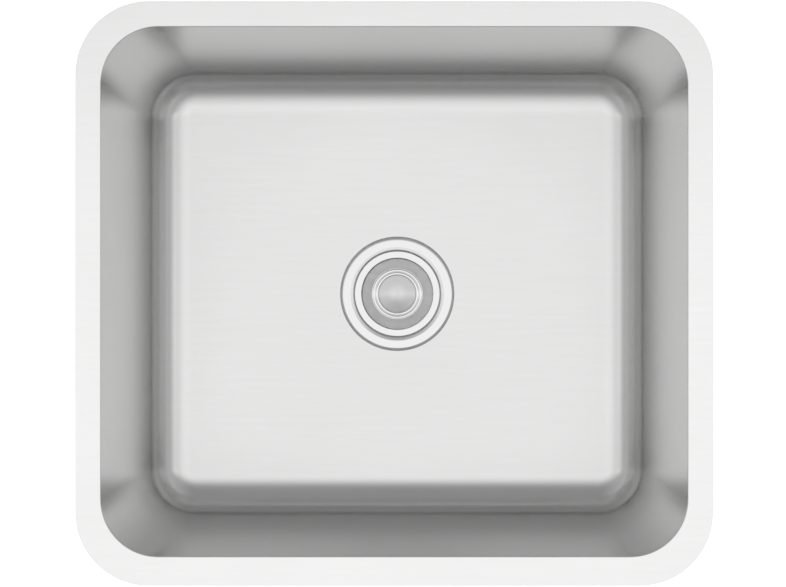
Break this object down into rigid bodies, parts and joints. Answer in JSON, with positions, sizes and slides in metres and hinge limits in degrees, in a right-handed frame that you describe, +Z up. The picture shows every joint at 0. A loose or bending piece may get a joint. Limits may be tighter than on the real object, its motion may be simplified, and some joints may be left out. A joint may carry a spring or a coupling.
{
  "type": "undermount kitchen sink",
  "caption": "Deep single bowl undermount kitchen sink of satin steel with a flat flange, rounded corners, a lift-out basket strainer with a mushroom knob, and a tailpiece.",
  "frame": {"origin": "on the drain's axis, in the plane of the flange's top face, which meets the underside of the countertop", "axes": "+X along the long side, +Y to the back of the sink, +Z up"},
  "size_m": [0.584, 0.535, 0.4124],
  "materials": {
    "satin_steel": "satin, fine brushed grain",
    "polished_steel": "bright polished",
    "turned_steel": "fine turned rings, bright",
    "plated_brass": "bright plated, light water marks",
    "cast_metal": "dull cast, slightly grainy",
    "black_rubber": "matt moulded",
    "grey_rubber": "matt, fine embossed grain",
    "white_plastic": "satin moulded",
    "fibre_board": "pressed fibre",
    "spring_steel": "blued grey, edge-rolled"
  },
  "bodies": {
    "sink": {"sink_bowl": "satin_steel", "pad_bottom_left": "grey_rubber", "pad_bottom_right": "grey_rubber", "pad_left": "grey_rubber", "pad_right": "grey_rubber", "pad_front": "grey_rubber", "pad_back": "grey_rubber", "strainer_body": "polished_steel", "flange_seal": "grey_rubber", "rubber_gasket": "black_rubber", "friction_ring": "fibre_board", "lock_nut": "cast_metal", "strainer_crossbar": "polished_steel", "outlet_nipple": "plated_brass", "tailpiece_washer": "white_plastic", "tailpiece": "plated_brass", "coupling_nut": "plated_brass"},
    "basket": {"basket_cup": "polished_steel", "stopper_seal": "black_rubber", "post_bush": "white_plastic"},
    "knob": {"knob": "polished_steel", "knob_cap": "turned_steel", "stem": "turned_steel", "stem_clip": "spring_steel"}
  },
  "joints": [
    {"name": "basket_lift", "type": "slide", "parent": "sink", "child": "basket", "axis": [0, 0, 1], "range_m": [0, 0.32]},
    {"name": "knob_turn", "type": "hinge", "parent": "basket", "child": "knob", "pos_m": [0, 0, -0.25], "axis": [0, 0, 1], "continuous": true}
  ]
}
